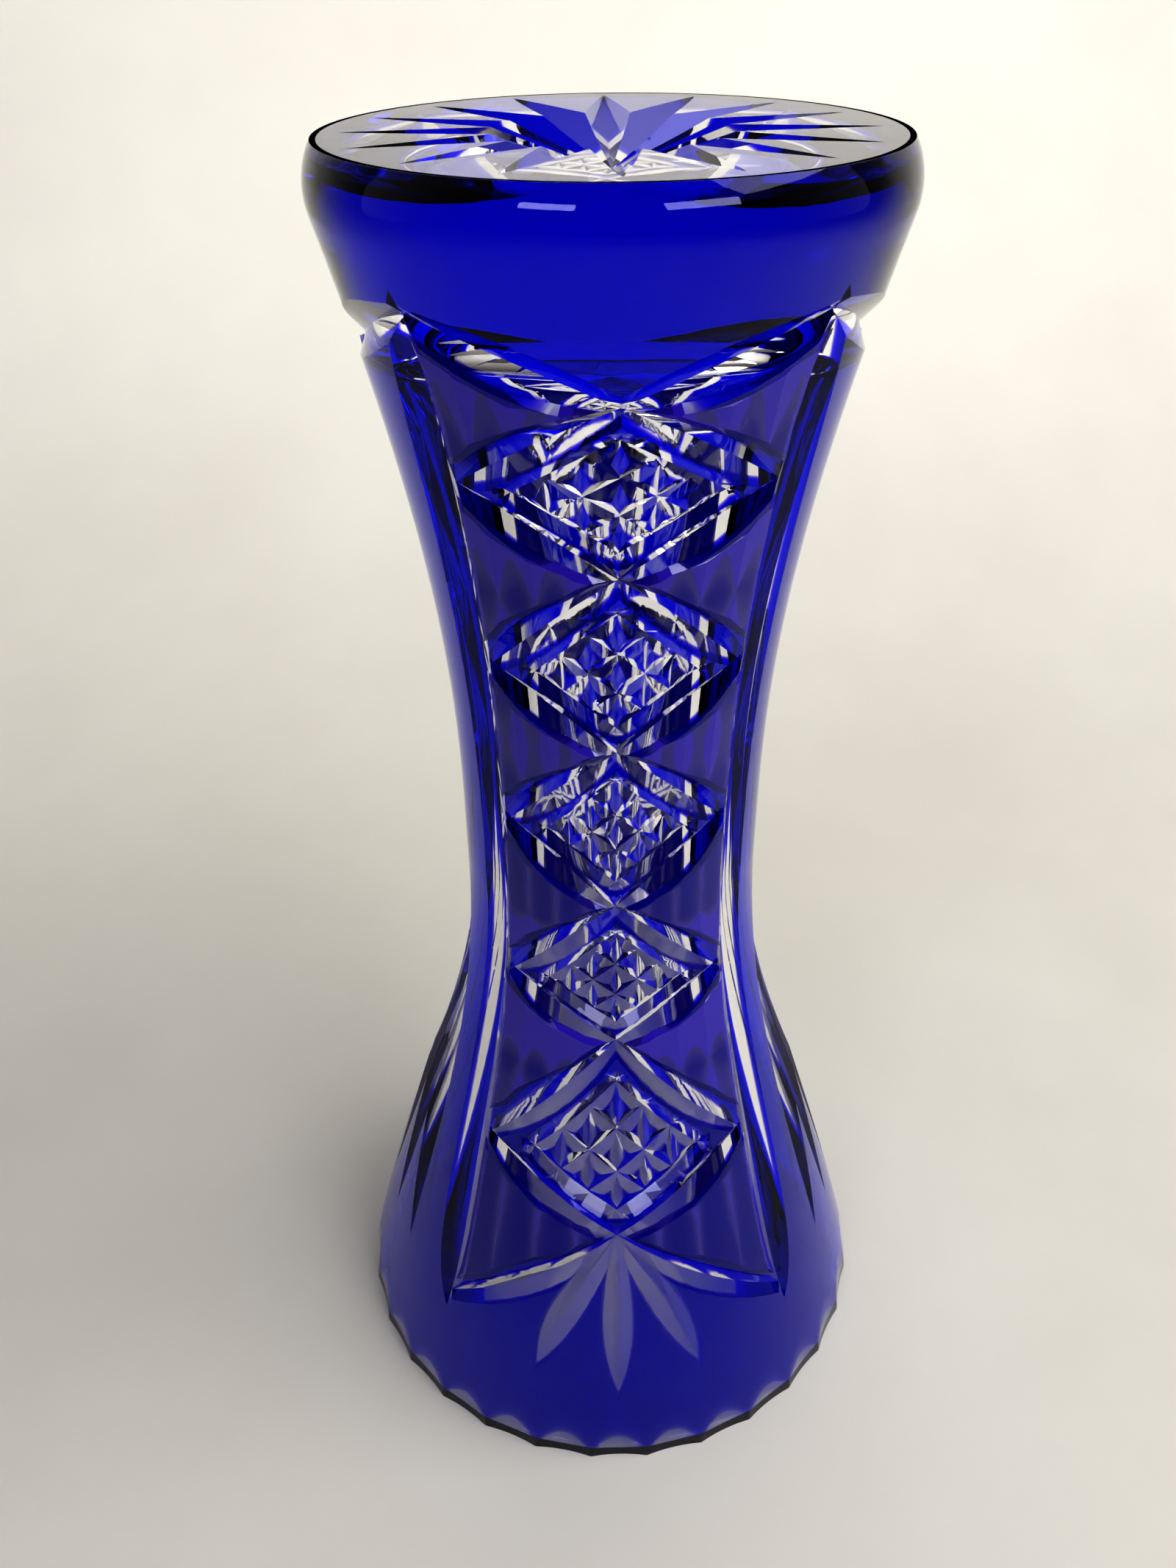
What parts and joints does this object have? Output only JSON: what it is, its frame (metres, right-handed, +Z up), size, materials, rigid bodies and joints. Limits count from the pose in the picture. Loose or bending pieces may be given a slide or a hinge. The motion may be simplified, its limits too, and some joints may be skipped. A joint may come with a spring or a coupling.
{
  "type": "cut crystal vase",
  "caption": "Waisted vase of clear crystal under a cobalt blue casing, wheel cut with a diamond chain, flutes, fans, a scalloped rim and a star in the base.",
  "frame": {"origin": "centre of the mouth, on the plane of the rim, which is the plane the vase is standing on", "axes": "+Z up along the vase's axis, from the mouth to the star-cut base; -Y is the front, where a diamond chain faces the viewer. The vase is modelled as it was pictured, standing on its mouth; turn it half a turn about X to stand it on its base for use."},
  "size_m": [0.117, 0.1162, 0.25],
  "materials": {
    "clear_crystal": "polished",
    "cobalt_glass": "polished"
  },
  "bodies": {
    "root": {"crystal_body": "clear_crystal", "base_collar": "cobalt_glass", "rim_band": "cobalt_glass", "front_diamond_1": "cobalt_glass", "front_diamond_2": "cobalt_glass", "front_diamond_3": "cobalt_glass", "front_diamond_4": "cobalt_glass", "front_diamond_5": "cobalt_glass", "front_left_field_1": "cobalt_glass", "front_left_field_2": "cobalt_glass", "front_left_field_3": "cobalt_glass", "front_left_field_4": "cobalt_glass", "front_left_field_5": "cobalt_glass", "front_left_field_6": "cobalt_glass", "front_right_field_1": "cobalt_glass", "front_right_field_2": "cobalt_glass", "front_right_field_3": "cobalt_glass", "front_right_field_4": "cobalt_glass", "front_right_field_5": "cobalt_glass", "front_right_field_6": "cobalt_glass", "back_diamond_1": "cobalt_glass", "back_diamond_2": "cobalt_glass", "back_diamond_3": "cobalt_glass", "back_diamond_4": "cobalt_glass", "back_diamond_5": "cobalt_glass", "back_left_field_1": "cobalt_glass", "back_left_field_2": "cobalt_glass", "back_left_field_3": "cobalt_glass", "back_left_field_4": "cobalt_glass", "back_left_field_5": "cobalt_glass", "back_left_field_6": "cobalt_glass", "back_right_field_1": "cobalt_glass", "back_right_field_2": "cobalt_glass", "back_right_field_3": "cobalt_glass", "back_right_field_4": "cobalt_glass", "back_right_field_5": "cobalt_glass", "back_right_field_6": "cobalt_glass"}
  },
  "joints": []
}
